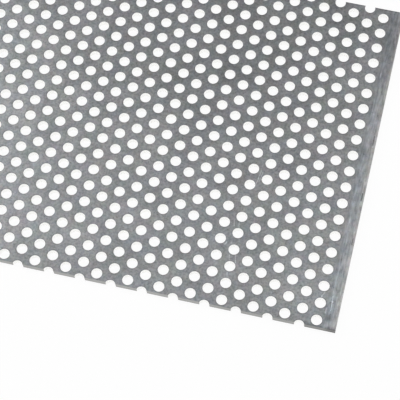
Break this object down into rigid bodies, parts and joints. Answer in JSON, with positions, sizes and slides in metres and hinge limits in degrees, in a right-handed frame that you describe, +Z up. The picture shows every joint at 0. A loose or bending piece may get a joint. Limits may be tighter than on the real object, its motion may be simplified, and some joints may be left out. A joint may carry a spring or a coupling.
{
  "type": "perforated metal sheet",
  "caption": "Flat steel sheet punched all over with round holes in a staggered pattern, for screens, guards, infill panels and drainage.",
  "frame": {"origin": "centre of the underside of the sheet", "axes": "+X along the sheet's length, towards its narrower plain border; +Y across its width, away from the edge whose cut takes less than half of each hole; +Z up, out of the face that the punch entered"},
  "size_m": [0.15, 0.1, 0.002],
  "materials": {
    "sheet_steel": "mill finish, matte, lightly mottled"
  },
  "bodies": {
    "root": {"perforated_sheet": "sheet_steel"}
  },
  "joints": []
}
